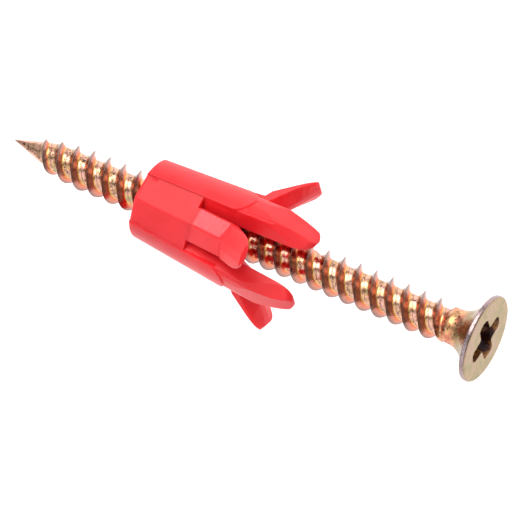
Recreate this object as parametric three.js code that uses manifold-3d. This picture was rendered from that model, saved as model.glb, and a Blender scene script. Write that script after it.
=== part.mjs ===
// Plasterboard wall anchor on its screw: a moulded sleeve with three spring wings and three
// straight legs, and a countersunk twin-thread screw. Millimetres and degrees. +X runs from
// the screw's point to its head, +Z is up with one wing on top, and the origin is the middle
// of the underside of the whole.
import * as THREE from 'three';
import Module from 'manifold-3d';
import { mergeVertices } from 'three/addons/utils/BufferGeometryUtils.js';

const wasm = await Module();
wasm.setup();

// ---- screw ----
const screwLength = 65;
const threadRadius = 2.5;
const coreRadius = 1.66;
const threadPitch = 2.165; // from one crest to the next, so a turn advances threadStarts of these
const threadStarts = 2;
const threadPhase = 0.71; // where a crest crosses the screw's top line, from the point
const threadFirst = 3.6; // where the first start leaves the point
const threadLast = 59.5;
const threadFade = 5.5; // length over which the crests grow out of the point
const threadRunOut = 1.2; // length over which they sink into the neck
const threadBase = 0.95; // width of a crest at the core
const crestWidth = 0.16;
const threadSteps = 12; // facets in one turn
const pointLength = 8.2;
const neckRadius = 2.2;
const neckStart = 59.2;
const flareStart = 61;
const headRadius = 5.2;
const headRim = 0.62;
const recessReach = 2.85; // from the middle to the end of one arm of the cross
const recessArm = 0.62; // half the width of an arm
const recessDepth = 3;
const recessTaper = 0.35; // the cross at the bottom, as a share of the cross at the face

// ---- living hinges ----
const hingeGap = 0.3;
const hingeBarrel = 1.4; // half the thickness of a wing or leg at its root
const hingeRoom = 0.5; // from the thread to the inner side of a wing or leg
const hingeRadius = threadRadius + hingeRoom + hingeBarrel; // from the anchor's axis to the hinge

// ---- anchor ----
const sleeveStart = 19.3; // from the screw's point to the sleeve's end face
const sleeveLength = 8.1;
const sleeveTaper = 0.63; // how much wider the sleeve is at the slots than at the end face
const sleeveRoot = hingeRadius + hingeBarrel - 0.12; // outer radius where the slots begin
const sleeveNose = sleeveRoot - sleeveTaper; // outer radius at the end face
const noseChamfer = 0.3;
const boreClearance = 0.35;
const bandAngle = 22; // half of the round band that leads to each leg
const bandProud = 0.22;
const plugTilt = 1.85; // how far the anchor hangs askew on its screw

// ---- wings ----
const wingHalf = 2.1;
const wingSplay = 9.5; // of the wing's root, at rest
const wingRoot = 3.2; // from the hinge to the crease
const wingRoof = 0.85; // how far the root's two facets fall from the middle to the sides
const wingKeel = 0.3; // half the width of the keel on the inner side
const tongueLength = 6.3;
const tongueRise = 31;
const tongueWedge = 20;
const tongueTip = 0.7; // thickness at the end
const tongueCorner = 1.3; // size of the two cut corners

// ---- legs ----
const legHalf = 2;
const legSplay = 3.45;
const legStep = 3.3; // from the hinge to the end of the outer skin
const legLength = 12.9;
const legNose = 7; // length of the tapered end
const legTipDrop = 0.7; // how far the leg's end lies inside its middle line
const skinHalf = 2.25;
const skinDepth = 0.15; // how far the skin stands proud of the leg's back
const skinThick = 0.5;
const grooveRadius = threadRadius + 0.8;

const boreRadius = threadRadius + boreClearance;
const hingePlace = sleeveLength + hingeGap + hingeBarrel;
const degrees = THREE.MathUtils.degToRad;

const zincYellow = new THREE.MeshStandardMaterial({ color: 0xc9a68c, roughness: 0.3, metalness: 1 });
const redNylon = new THREE.MeshStandardMaterial({ color: 0xf0343a, roughness: 0.42, metalness: 0 });

// ---- solids ----
function solidOf(geometry) {
  geometry.deleteAttribute('normal');
  geometry.deleteAttribute('uv');
  const merged = mergeVertices(geometry, 1e-5);
  return new wasm.Manifold(new wasm.Mesh({
    numProp: 3,
    vertProperties: new Float32Array(merged.attributes.position.array),
    triVerts: new Uint32Array(merged.index.array),
  }));
}

function meshOf(name, solid, material) {
  const { vertProperties, triVerts } = solid.getMesh();
  const geometry = new THREE.BufferGeometry();
  geometry.setAttribute('position', new THREE.BufferAttribute(new Float32Array(vertProperties), 3));
  geometry.setIndex(new THREE.BufferAttribute(new Uint32Array(triVerts), 1));
  geometry.computeVertexNormals();
  const mesh = new THREE.Mesh(geometry, material);
  mesh.name = name;
  return mesh;
}

// a closed solid through rings of points, each ring turning the same way about the path
function loftOf(rings, fannedEnds = false) {
  const count = rings[0].length;
  const positions = rings.flat().flatMap((p) => [p.x, p.y, p.z]);
  const index = [];
  for (let ring = 0; ring + 1 < rings.length; ring += 1) {
    for (let i = 0; i < count; i += 1) {
      const a = ring * count + i;
      const b = ring * count + ((i + 1) % count);
      index.push(a, b, b + count, a, b + count, a + count);
    }
  }
  const last = (rings.length - 1) * count;
  const flat = rings[0].map((p) => new THREE.Vector2(p.y, p.z));
  const ends = fannedEnds
    ? Array.from({ length: count - 2 }, (_, i) => [0, i + 1, i + 2])
    : THREE.ShapeUtils.triangulateShape(flat, []);
  for (const [a, b, c] of ends) {
    index.push(a, c, b, last + a, last + b, last + c);
  }
  const geometry = new THREE.BufferGeometry();
  geometry.setAttribute('position', new THREE.Float32BufferAttribute(positions, 3));
  geometry.setIndex(index);
  return solidOf(geometry);
}

// an outline in x and z, as wide as 2 * half along y
function sideExtrusion(outline, half) {
  const geometry = new THREE.ExtrudeGeometry(outline, {
    depth: 2 * half, bevelEnabled: false, curveSegments: 8,
  });
  geometry.rotateX(Math.PI / 2).translate(0, half, 0);
  return solidOf(geometry);
}

// an outline in x and y, from z = low to z = high
function planExtrusion(outline, low, high) {
  const geometry = new THREE.ExtrudeGeometry(outline, {
    depth: high - low, bevelEnabled: false, curveSegments: 8,
  });
  geometry.translate(0, 0, low);
  return solidOf(geometry);
}

// a section in y and z, from x = start to x = end
function lengthwise(section, start, end) {
  const ring = (x) => section.map(([y, z]) => new THREE.Vector3(x, y, z));
  return loftOf([ring(start), ring(end)]);
}

function roundBar(radius, start, end, centreZ, sides) {
  const section = Array.from({ length: sides }, (_, i) => {
    const turn = (2 * Math.PI * i) / sides;
    return [radius * Math.cos(turn), centreZ + radius * Math.sin(turn)];
  });
  return lengthwise(section, start, end);
}

// ---- screw ----
function screwBody() {
  const points = [
    new THREE.Vector2(0, 0),
    new THREE.Vector2(coreRadius * 0.5, pointLength * 0.42),
    new THREE.Vector2(coreRadius, pointLength),
    new THREE.Vector2(coreRadius, neckStart),
    new THREE.Vector2(neckRadius, neckStart + 0.6),
    new THREE.Vector2(neckRadius, flareStart),
  ];
  const rimStart = screwLength - headRim;
  const flare = new THREE.CubicBezierCurve(
    new THREE.Vector2(neckRadius, flareStart),
    new THREE.Vector2(neckRadius + 0.3, flareStart + 1.4),
    new THREE.Vector2(headRadius - 1.5, rimStart - 0.9),
    new THREE.Vector2(headRadius - 0.15, rimStart),
  );
  points.push(...flare.getPoints(6).slice(1));
  points.push(new THREE.Vector2(headRadius, rimStart + headRim * 0.35));
  points.push(new THREE.Vector2(headRadius, screwLength - headRim * 0.25));
  points.push(new THREE.Vector2(headRadius - 0.15, screwLength));
  points.push(new THREE.Vector2(0, screwLength));
  const geometry = new THREE.LatheGeometry(points, threadSteps * 2);
  geometry.rotateZ(-Math.PI / 2);
  return solidOf(geometry);
}

// one start of the thread: a thin triangular ridge wound round the core
function threadRidge(start) {
  const lead = threadPitch * threadStarts;
  const turns = (threadLast - threadFirst) / lead;
  const steps = Math.round(turns * threadSteps);
  const sunk = 0.25;
  const rings = [];
  for (let i = 0; i <= steps; i += 1) {
    const along = (i / steps) * (threadLast - threadFirst);
    const centre = threadFirst + along;
    const grow = Math.min(1, along / threadFade);
    const fade = Math.min(1, (threadLast - centre) / threadRunOut);
    const floor = Math.min(1, centre / pointLength) * coreRadius;
    const height = (threadRadius - coreRadius) * (0.2 + 0.8 * grow) * fade;
    const turn = Math.PI * (0.5 + (2 * (centre - threadPhase)) / lead + (2 * start) / threadStarts);
    const at = (x, radius) => new THREE.Vector3(x, radius * Math.cos(turn), radius * Math.sin(turn));
    const foot = (threadBase / 2) * (0.6 + 0.4 * grow);
    rings.push([
      at(centre + foot, floor - sunk),
      at(centre + crestWidth / 2, floor + height),
      at(centre - crestWidth / 2, floor + height),
      at(centre - foot, floor - sunk),
    ]);
  }
  return loftOf(rings, true);
}

// the cross recess, tapering from the head's face to its bottom
function crossRecess() {
  const outline = [];
  for (let arm = 0; arm < 4; arm += 1) {
    const turn = (arm * Math.PI) / 2;
    for (const [y, z] of [[recessReach, -recessArm], [recessReach, recessArm], [recessArm, recessArm]]) {
      outline.push([
        y * Math.cos(turn) - z * Math.sin(turn),
        y * Math.sin(turn) + z * Math.cos(turn),
      ]);
    }
  }
  const ring = (x, scale) => outline.map(([y, z]) => new THREE.Vector3(x, y * scale, z * scale));
  const over = 0.5;
  const spread = (over * (1 - recessTaper)) / recessDepth;
  return loftOf([
    ring(screwLength - recessDepth, recessTaper),
    ring(screwLength + over, 1 + spread),
  ]);
}

function screwSolid() {
  let solid = screwBody();
  for (let start = 0; start < threadStarts; start += 1) {
    solid = solid.add(threadRidge(start));
  }
  return solid.subtract(crossRecess());
}

// ---- sleeve ----
// outline at one radius: a round band at each leg, and two flats meeting at a ridge at each wing
function sleeveSection(radius) {
  const section = [];
  const bandSteps = 6;
  const put = (r, angle) => section.push([r * Math.sin(degrees(angle)), r * Math.cos(degrees(angle))]);
  for (let third = 0; third < 3; third += 1) {
    const middle = 120 * third;
    put(radius, middle);
    put(radius - bandProud, middle + 60 - bandAngle);
    for (let i = 0; i <= bandSteps; i += 1) {
      put(radius, middle + 60 - bandAngle + (2 * bandAngle * i) / bandSteps);
    }
    put(radius - bandProud, middle + 60 + bandAngle);
  }
  return section.reverse();
}

function sleeveSolid() {
  const ring = (x, radius) => sleeveSection(radius).map(([y, z]) => new THREE.Vector3(x, y, z));
  const outside = loftOf([
    ring(0, sleeveNose - noseChamfer),
    ring(noseChamfer, sleeveNose),
    ring(sleeveLength, sleeveRoot),
  ]);
  return outside.subtract(roundBar(boreRadius, -1, sleeveLength + 1, 0, 32));
}

// ---- wings and legs, each round its own hinge line at the origin ----
function barrelOutline(length) {
  const outline = new THREE.Shape();
  outline.moveTo(0, -hingeBarrel);
  outline.lineTo(length, -hingeBarrel);
  outline.lineTo(length, hingeBarrel);
  outline.lineTo(0, hingeBarrel);
  outline.absarc(0, 0, hingeBarrel, Math.PI / 2, (3 * Math.PI) / 2, false);
  return outline;
}

// keeps the inner side narrow, so that a wing passes between the legs
function keelSection(top) {
  const inner = -hingeBarrel;
  return [[-wingKeel, inner], [wingKeel, inner], [wingHalf, 0], [wingHalf, top], [-wingHalf, top], [-wingHalf, 0]];
}

function wingRootSolid() {
  const side = hingeBarrel - wingRoof;
  const inner = -hingeBarrel;
  const section = [
    [-wingKeel, inner], [wingKeel, inner], [wingHalf, 0], [wingHalf, side],
    [0, hingeBarrel], [-wingHalf, side], [-wingHalf, 0],
  ];
  const length = wingRoot + 1;
  return sideExtrusion(barrelOutline(length), wingHalf)
    .intersect(lengthwise(section, -2 * hingeBarrel, length));
}

function tongueSolid() {
  const rise = degrees(tongueRise);
  const steep = degrees(tongueRise + tongueWedge);
  const tip = [wingRoot + tongueLength * Math.cos(rise), hingeBarrel + tongueLength * Math.sin(rise)];
  const end = [tip[0] + tongueTip * Math.sin(rise), tip[1] - tongueTip * Math.cos(rise)];
  const heel = [end[0] - (end[1] + hingeBarrel) / Math.tan(steep), -hingeBarrel];
  const side = new THREE.Shape();
  side.moveTo(wingRoot, hingeBarrel);
  side.lineTo(wingRoot, -hingeBarrel);
  side.lineTo(heel[0], heel[1]);
  side.lineTo(end[0], end[1]);
  side.lineTo(tip[0], tip[1]);
  const plan = new THREE.Shape();
  plan.moveTo(0, -wingHalf);
  plan.lineTo(end[0] - tongueCorner, -wingHalf);
  plan.lineTo(end[0], tongueCorner - wingHalf);
  plan.lineTo(end[0], wingHalf - tongueCorner);
  plan.lineTo(end[0] - tongueCorner, wingHalf);
  plan.lineTo(0, wingHalf);
  return sideExtrusion(side, wingHalf)
    .intersect(planExtrusion(plan, -2 * hingeBarrel, tip[1] + 1))
    .intersect(lengthwise(keelSection(tip[1] + 1), 0, end[0] + 1));
}

function wingSolid() {
  return wingRootSolid().add(tongueSolid());
}

// the leg's side view: straight, then a long rounded nose
function legOutline(back) {
  const noseStart = legLength - legNose;
  const outline = new THREE.Shape();
  outline.moveTo(0, -hingeBarrel);
  outline.lineTo(legLength - 2, -hingeBarrel);
  outline.quadraticCurveTo(legLength, -hingeBarrel + 0.1, legLength, -legTipDrop);
  outline.bezierCurveTo(
    legLength, 0.5 - legTipDrop, legLength - 2.2, back - 0.3, noseStart, back,
  );
  outline.lineTo(0, back);
  outline.absarc(0, 0, hingeBarrel, Math.PI / 2, (3 * Math.PI) / 2, false);
  return outline;
}

function legPlan() {
  const noseStart = legLength - legNose * 0.7;
  const plan = new THREE.Shape();
  plan.moveTo(-2 * hingeBarrel, -legHalf);
  plan.lineTo(noseStart, -legHalf);
  plan.bezierCurveTo(noseStart + 2, -legHalf, legLength, -legHalf * 0.75, legLength, 0);
  plan.bezierCurveTo(legLength, legHalf * 0.75, noseStart + 2, legHalf, noseStart, legHalf);
  plan.lineTo(-2 * hingeBarrel, legHalf);
  return plan;
}

function legSolid() {
  const reach = legLength + 1;
  const back = hingeRadius + hingeBarrel;
  const core = sideExtrusion(legOutline(hingeBarrel), legHalf)
    .intersect(planExtrusion(legPlan(), -2 * hingeBarrel, 2 * hingeBarrel))
    .intersect(roundBar(back - skinDepth, -2 * hingeBarrel, reach, -hingeRadius, 48));
  const skinOutline = new THREE.Shape();
  skinOutline.moveTo(0, hingeBarrel - skinThick);
  skinOutline.lineTo(legStep, hingeBarrel - skinThick);
  skinOutline.lineTo(legStep, hingeBarrel);
  skinOutline.lineTo(0, hingeBarrel);
  const skin = sideExtrusion(skinOutline, skinHalf)
    .intersect(roundBar(back, -1, reach, -hingeRadius, 48));
  return core.add(skin).subtract(roundBar(grooveRadius, -2 * hingeBarrel, reach, -hingeRadius, 32));
}

// ---- assembly ----
function fingerOf(name, solid, turn, splay) {
  const place = new THREE.Group();
  place.rotation.x = -degrees(turn);
  const mesh = meshOf(name, solid, redNylon);
  mesh.position.set(hingePlace, 0, hingeRadius);
  mesh.rotation.y = -degrees(splay);
  place.add(mesh);
  return place;
}

const anchor = new THREE.Group();
anchor.add(meshOf('sleeve', sleeveSolid(), redNylon));
for (const [name, turn] of [['wing_top', 0], ['wing_left', 120], ['wing_right', 240]]) {
  anchor.add(fingerOf(name, wingSolid(), turn, wingSplay));
}
for (const [name, turn] of [['leg_left', 60], ['leg_bottom', 180], ['leg_right', 300]]) {
  anchor.add(fingerOf(name, legSolid(), turn, legSplay));
}
anchor.position.x = sleeveStart;
anchor.rotation.z = -degrees(plugTilt);

const group = new THREE.Group();
group.add(meshOf('screw', screwSolid(), zincYellow), anchor);
const box = new THREE.Box3().setFromObject(group, true);
group.position.set(-screwLength / 2, -(box.min.y + box.max.y) / 2, -box.min.z);

export default group;
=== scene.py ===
# %% [markdown]
# # A plasterboard anchor and its screw
# The object is two things that a worker holds as one: a red moulded anchor, and the yellow
# screw that is already started in it. The CAD frame gives where everything is and how it moves.
# Here each part gets its real surface: a fine twin thread on the screw, and one soft-edged
# moulding for the sleeve, its three spring wings and its three straight legs.

# %% The frame and the libraries
import bmesh
import bpy
import math
from mathutils import Matrix, Vector


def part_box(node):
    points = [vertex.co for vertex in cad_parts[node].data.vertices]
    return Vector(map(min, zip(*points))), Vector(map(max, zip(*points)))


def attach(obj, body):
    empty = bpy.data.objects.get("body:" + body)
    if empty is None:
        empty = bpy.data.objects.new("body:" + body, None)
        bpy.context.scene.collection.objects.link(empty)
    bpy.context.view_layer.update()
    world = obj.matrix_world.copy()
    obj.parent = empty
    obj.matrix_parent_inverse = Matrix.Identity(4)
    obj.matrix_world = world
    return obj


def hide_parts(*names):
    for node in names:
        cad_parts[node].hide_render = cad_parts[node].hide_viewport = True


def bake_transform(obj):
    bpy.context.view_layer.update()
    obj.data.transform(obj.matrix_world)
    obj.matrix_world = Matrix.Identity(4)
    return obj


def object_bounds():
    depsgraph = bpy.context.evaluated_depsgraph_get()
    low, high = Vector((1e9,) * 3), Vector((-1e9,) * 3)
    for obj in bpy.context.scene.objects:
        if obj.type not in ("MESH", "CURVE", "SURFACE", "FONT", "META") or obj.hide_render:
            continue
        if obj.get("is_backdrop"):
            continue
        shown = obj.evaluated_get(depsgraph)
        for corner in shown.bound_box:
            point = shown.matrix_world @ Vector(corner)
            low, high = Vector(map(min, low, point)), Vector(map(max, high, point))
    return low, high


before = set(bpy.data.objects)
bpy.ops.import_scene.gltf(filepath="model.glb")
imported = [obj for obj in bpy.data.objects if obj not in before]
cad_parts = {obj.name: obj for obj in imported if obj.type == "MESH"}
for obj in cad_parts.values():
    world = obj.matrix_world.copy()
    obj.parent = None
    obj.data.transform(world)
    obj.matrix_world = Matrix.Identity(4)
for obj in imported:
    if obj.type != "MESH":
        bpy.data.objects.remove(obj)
cad_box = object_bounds()

# %% [markdown]
# ## Sizes
# Everything is written in millimetres, as on a drawing of the object, and turned to metres
# when a mesh is made. Three places tie the drawing to the frame: the screw's axis and its
# point, the middle of the sleeve's end face, and the flexing root of each wing and leg.

# %% The places that the frame gives
MM = 0.001
screw_low, screw_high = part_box("screw")
AXIS_Y = (screw_low.y + screw_high.y) / 2 / MM
AXIS_Z = (screw_low.z + screw_high.z) / 2 / MM
POINT_X = screw_low.x / MM
SCREW_LENGTH = (screw_high.x - screw_low.x) / MM
HEAD_RADIUS = (screw_high.z - screw_low.z) / 2 / MM

SLEEVE_START = 19.3  # from the screw's point to the sleeve's end face
ANCHOR_TILT = 1.85  # degrees that the anchor hangs askew on its screw
HINGE_PLACE = 9.8  # from the sleeve's end face to the hinges
HINGE_RADIUS = 4.4  # from the anchor's axis to the hinges
HALF_WALL = 1.4  # half the thickness of a wing or leg at its root

SCREW_PLACE = Matrix.Translation((POINT_X, AXIS_Y, AXIS_Z))
ANCHOR_PLACE = (
    Matrix.Translation((POINT_X + SLEEVE_START, AXIS_Y, AXIS_Z))
    @ Matrix.Rotation(-math.radians(ANCHOR_TILT), 4, "Z")
)
print(f"screw {SCREW_LENGTH:.1f} mm long, head {2 * HEAD_RADIUS:.1f} mm across")

# %% [markdown]
# ## Small helpers
# A mesh is made from points in millimetres, placed by one matrix, and its object stays at the
# origin. Shapes are cut and joined with the Boolean modifier, whose result is turned to a plain
# mesh at once, so that a finished piece carries no live modifiers.

# %% Making and finishing a mesh
def new_mesh(name, points, faces):
    mesh = bpy.data.meshes.new(name)
    mesh.from_pydata([tuple(p) for p in points], [], faces)
    obj = bpy.data.objects.new(name, mesh)
    bpy.context.scene.collection.objects.link(obj)
    build = bmesh.new()
    build.from_mesh(mesh)
    bmesh.ops.remove_doubles(build, verts=build.verts, dist=1e-4)
    bmesh.ops.dissolve_degenerate(build, edges=build.edges, dist=1e-5)
    bmesh.ops.recalc_face_normals(build, faces=build.faces)
    build.to_mesh(mesh)
    build.free()
    return obj


def plain(obj):
    """Turns an object and its modifiers into a plain mesh."""
    bpy.context.view_layer.update()
    graph = bpy.context.evaluated_depsgraph_get()
    result = bpy.data.meshes.new_from_object(obj.evaluated_get(graph))
    obj.modifiers.clear()
    obj.data = result
    return obj


def combine(obj, other, operation):
    """Joins or cuts with another solid, which is used up."""
    tool = obj.modifiers.new("tool", "BOOLEAN")
    tool.object, tool.operation, tool.solver = other, operation, "EXACT"
    plain(obj)
    bpy.data.objects.remove(other)
    return obj


def place_mesh(obj, matrix):
    """Moves a mesh, in millimetres, to its place in the frame, in metres."""
    obj.data.transform(Matrix.Scale(MM, 4) @ matrix)
    obj.data.shade_smooth()
    return obj


# %% [markdown]
# Outlines are drawn with two curves: an arc for what a turned or round tool leaves, and a
# Bezier for a shape that a mould maker would draw by eye.

# %% Arcs and Bezier curves
def arc(centre, radius, start, end, steps):
    """Points on an arc, from one angle to another in degrees."""
    turns = [math.radians(start + (end - start) * i / steps) for i in range(steps + 1)]
    return [(centre[0] + radius * math.cos(t), centre[1] + radius * math.sin(t)) for t in turns]


def bezier(a, b, c, d, steps):
    """Points on a cubic curve after its first point."""
    found = []
    for i in range(1, steps + 1):
        t = i / steps
        parts = ((1 - t) ** 3, 3 * t * (1 - t) ** 2, 3 * t * t * (1 - t), t ** 3)
        found.append(tuple(sum(p * q[k] for p, q in zip(parts, (a, b, c, d))) for k in (0, 1)))
    return found


print("a quarter of a circle ends at", arc((0, 0), 1, 0, 90, 4)[-1])

# %% [markdown]
# Four shapes make most of the moulding: an outline seen from the side and given a width, an
# outline seen from above and given a height, a section that runs lengthwise, and a loft through
# several sections. They use the moulding's own directions: x along the anchor, y across, and z
# outwards from its axis.

# %% Prisms and lofts
def loft(name, rings):
    """A closed solid through rings that have the same number of points."""
    count = len(rings[0])
    points = [p for ring in rings for p in ring]
    faces = [list(range(count)), [(len(rings) - 1) * count + i for i in range(count)]]
    for level in range(len(rings) - 1):
        for i in range(count):
            a, b = level * count + i, level * count + (i + 1) % count
            faces.append([a, b, b + count, a + count])
    return new_mesh(name, points, faces)


def from_side(name, outline, half):
    return loft(name, [[(x, y, z) for x, z in outline] for y in (-half, half)])


def from_above(name, outline, low, high):
    return loft(name, [[(x, y, z) for x, y in outline] for z in (low, high)])


def lengthwise(name, section, start, end):
    return loft(name, [[(x, y, z) for y, z in section] for x in (start, end)])


def round_bar(name, radius, start, end, centre=0.0, sides=96):
    turns = [2 * math.pi * i / sides for i in range(sides)]
    section = [(radius * math.cos(t), centre + radius * math.sin(t)) for t in turns]
    return lengthwise(name, section, start, end)


# %% [markdown]
# A mould leaves no edge quite sharp. A Bevel modifier fails on the many short edges that cuts
# leave, so each moulded piece is remeshed into small even squares and smoothed a few times.

# %% Soft edges
VOXEL = 0.075  # side of a square, about the radius that a moulded edge has


def soften(obj, voxel, rounds):
    """Rounds every edge a little; more rounds of smoothing give a larger radius."""
    remesh = obj.modifiers.new("voxels", "REMESH")
    remesh.mode, remesh.voxel_size, remesh.use_smooth_shade = "VOXEL", voxel, True
    smooth = obj.modifiers.new("smooth", "SMOOTH")
    smooth.factor, smooth.iterations = 0.5, rounds
    return plain(obj)


print("moulded edges are drawn with squares of", VOXEL, "mm")

# %% [markdown]
# ## Helpers for node trees
# A node tree is easiest to read as a list of sums. One function adds a node and sets or links
# its inputs. A small class writes the tree's arithmetic, so that each line further on is one
# step of a rule.

# %% One function adds a node
def add_node(tree, kind, settings=None, **inputs):
    """Adds a node. Inputs are given by name or as i0, i1 for the socket's place."""
    node = tree.nodes.new(kind)
    for key, value in (settings or {}).items():
        setattr(node, key, value)
    for key, value in inputs.items():
        by_place = key[1:].isdigit()
        socket = node.inputs[int(key[1:]) if by_place else key.replace("_", " ")]
        if isinstance(value, bpy.types.NodeSocket):
            tree.links.new(value, socket)
        else:
            socket.default_value = value
    return node


class Sums:
    """Writes a node tree's arithmetic as short lines."""

    def __init__(self, tree):
        self.tree = tree

    def __call__(self, operation, *values, clamp=False):
        inputs = {f"i{i}": v for i, v in enumerate(values)}
        settings = {"operation": operation, "use_clamp": clamp}
        return add_node(self.tree, "ShaderNodeMath", settings, **inputs).outputs[0]

    def smooth(self, value, start, end):
        """0 before start, 1 after end."""
        settings = {"interpolation_type": "SMOOTHSTEP"}
        ranges = {"Value": value, "From_Min": start, "From_Max": end}
        return add_node(self.tree, "ShaderNodeMapRange", settings, **ranges).outputs[0]


# %% [markdown]
# ## The screw's thread
# The thread is a rule rather than a drawing: a sharp crest that winds round the core twice
# over, because a twin-thread screw has two starts. A profile with the Screw modifier would
# give the straight part, but its crests couldn't grow out of the point. So a sheet of points is
# wound round the axis by a Geometry Nodes tree. Rows follow the crests, so few of them draw a
# sharp edge. The sizes in THREAD become the tree's inputs.

# %% The thread's sizes
THREAD = {
    "Pitch": 2.165,  # from crest to crest, so the screw advances two of these in a turn
    "Phase": 0.71,  # where a crest crosses the screw's top line
    "Core Radius": 1.66,
    "Crest Radius": 2.57,
    "Point Length": 6.2,
    "Neck Radius": 2.2,
    "Shank End": 61.0,
}
AROUND = 96  # columns in a turn
ROWS = 18  # rows from one crest to the next
CROWDING = 0.85  # how closely the rows crowd at a crest
POINT_SWELL = 0.12  # how much fuller than a cone the point is
BLUNT = 0.035  # radius of a crest's edge
BLUNT_SQUARE = 0.0012  # its square, rounded off
FOOT = 0.62  # half the width of a ridge at its foot
HOLLOW = 1.9  # above 1 the ridge's flanks are hollow
FIRST_CREST = 1.72  # radius of the crest where it leaves the point
FIRST_START = 3.6  # from the point to the start of the first thread
SECOND_LATER = 1.9  # how much later the second thread starts
print("one turn drives the screw", 2 * THREAD["Pitch"], "mm")

# %% [markdown]
# The distance of a point from the axis is a sum of three rules: the core, with its point and
# its neck; the shape across one ridge; and how high the ridge stands at that place. Each is a
# function that adds its own few nodes.

# %% The core and the ridges as sums
def core_radius(put, along, given):
    """A slender point, a straight core and a thicker neck under the head."""
    share = put("DIVIDE", along, given["Point Length"], clamp=True)
    full = put("MULTIPLY", share, 1 + POINT_SWELL)
    cone = put("SUBTRACT", full, put("MULTIPLY", put("POWER", share, 6.0), POINT_SWELL))
    core = put("MULTIPLY", cone, given["Core Radius"])
    swell = put("SUBTRACT", given["Neck Radius"], given["Core Radius"])
    start, end = (put("SUBTRACT", given["Shank End"], back) for back in (1.6, 0.3))
    return put("ADD", core, put("MULTIPLY", swell, put.smooth(along, start, end)))


def ridge_profile(put, nearest, given):
    """1 on a crest and 0 at the foot of its ridge."""
    distance = put("MULTIPLY", put("ABSOLUTE", nearest), given["Pitch"])
    square = put("ADD", put("MULTIPLY", distance, distance), BLUNT_SQUARE)
    rounded = put("SUBTRACT", put("SQRT", square), BLUNT)
    flank = put("SUBTRACT", 1.0, put("DIVIDE", rounded, FOOT), clamp=True)
    return put("POWER", flank, HOLLOW)


def ridge_height(put, along, warped, core, given):
    """How far the crest stands above the core: it grows along the point, and ends at the neck."""
    growth = put("SUBTRACT", given["Crest Radius"], FIRST_CREST)
    crest = put("ADD", FIRST_CREST, put("MULTIPLY", growth, put.smooth(along, 1.2, 10.8)))
    height = put("MAXIMUM", put("SUBTRACT", crest, core), 0.0)
    # rows of every second crest belong to the second thread, which starts a little later
    second = put("MODULO", put("ABSOLUTE", put("ROUND", warped)), 2.0)
    begin = put("ADD", FIRST_START, put("MULTIPLY", second, SECOND_LATER))
    height = put("MULTIPLY", height, put.smooth(along, begin, put("ADD", begin, 0.9)))
    start, end = (put("SUBTRACT", given["Shank End"], back) for back in (1.8, 0.1))
    return put("MULTIPLY", height, put("SUBTRACT", 1.0, put.smooth(along, start, end)))


# %% [markdown]
# The tree reads each point of a flat sheet: x counts rows in pitches, and y goes once round.
# Walking once round moves a row on by two pitches, and that makes the two starts. The tree also
# keeps how far a point is from its crest, because the zinc's colour changes across a ridge.

# %% The thread's node tree
def thread_tree(material):
    tree = bpy.data.node_groups.new("twin_thread", "GeometryNodeTree")
    face = tree.interface
    face.new_socket("Geometry", in_out="INPUT", socket_type="NodeSocketGeometry")
    for name in THREAD:
        face.new_socket(name, in_out="INPUT", socket_type="NodeSocketFloat")
    face.new_socket("Geometry", in_out="OUTPUT", socket_type="NodeSocketGeometry")
    given = tree.nodes.new("NodeGroupInput").outputs
    put = Sums(tree)
    source = add_node(tree, "GeometryNodeInputPosition").outputs[0]
    sheet = add_node(tree, "ShaderNodeSeparateXYZ", Vector=source).outputs
    row, turn = sheet["X"], sheet["Y"]

    swing = put("SINE", put("MULTIPLY", row, 2 * math.pi))
    warped = put("SUBTRACT", row, put("MULTIPLY", swing, CROWDING / (2 * math.pi)))
    pitches = put("ADD", warped, put("MULTIPLY", turn, 2.0))
    along = put("ADD", put("MULTIPLY", pitches, given["Pitch"]), given["Phase"])
    along = put("MINIMUM", put("MAXIMUM", along, 0.0), given["Shank End"])
    nearest = put("SUBTRACT", warped, put("ROUND", warped))

    core = core_radius(put, along, given)
    height = ridge_height(put, along, warped, core, given)
    radius = put("ADD", core, put("MULTIPLY", height, ridge_profile(put, nearest, given)))
    angle = put("ADD", put("MULTIPLY", turn, 2 * math.pi), math.pi / 2)
    across = put("MULTIPLY", radius, put("COSINE", angle))
    up = put("MULTIPLY", radius, put("SINE", angle))
    wound = add_node(tree, "ShaderNodeCombineXYZ", X=along, Y=across, Z=up).outputs[0]

    domain = {"domain": "POINT"}
    noted = add_node(tree, "GeometryNodeStoreNamedAttribute", domain, Geometry=given["Geometry"])
    noted.inputs["Name"].default_value = "from_crest"
    tree.links.new(nearest, noted.inputs["Value"])
    moved = add_node(tree, "GeometryNodeSetPosition", Geometry=noted.outputs[0], Position=wound)
    merged = add_node(
        tree, "GeometryNodeMergeByDistance", Geometry=moved.outputs[0], Distance=0.004
    )
    real = add_node(tree, "GeometryNodeRealizeInstances", Geometry=merged.outputs[0])
    last = add_node(
        tree, "GeometryNodeSetMaterial", Geometry=real.outputs[0], Material=material
    )
    add_node(tree, "NodeGroupOutput", Geometry=last.outputs[0])
    return tree


# %% [markdown]
# The sheet starts three pitches before the point and ends a little after the neck. What lies
# past either end is gathered into one ring there, and is merged away.

# %% The sheet and the shank
def thread_sheet():
    first = -3
    pitches = math.ceil(THREAD["Shank End"] / THREAD["Pitch"]) + 1 - first
    rows = pitches * ROWS + 1
    points = [(first + r / ROWS, c / AROUND, 0) for r in range(rows) for c in range(AROUND + 1)]
    wide = AROUND + 1
    faces = [
        (r * wide + c, (r + 1) * wide + c, (r + 1) * wide + c + 1, r * wide + c + 1)
        for r in range(rows - 1) for c in range(AROUND)
    ]
    mesh = bpy.data.meshes.new("screw")
    mesh.from_pydata(points, [], faces)
    obj = bpy.data.objects.new("zinc_screw", mesh)
    bpy.context.scene.collection.objects.link(obj)
    return obj


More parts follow.
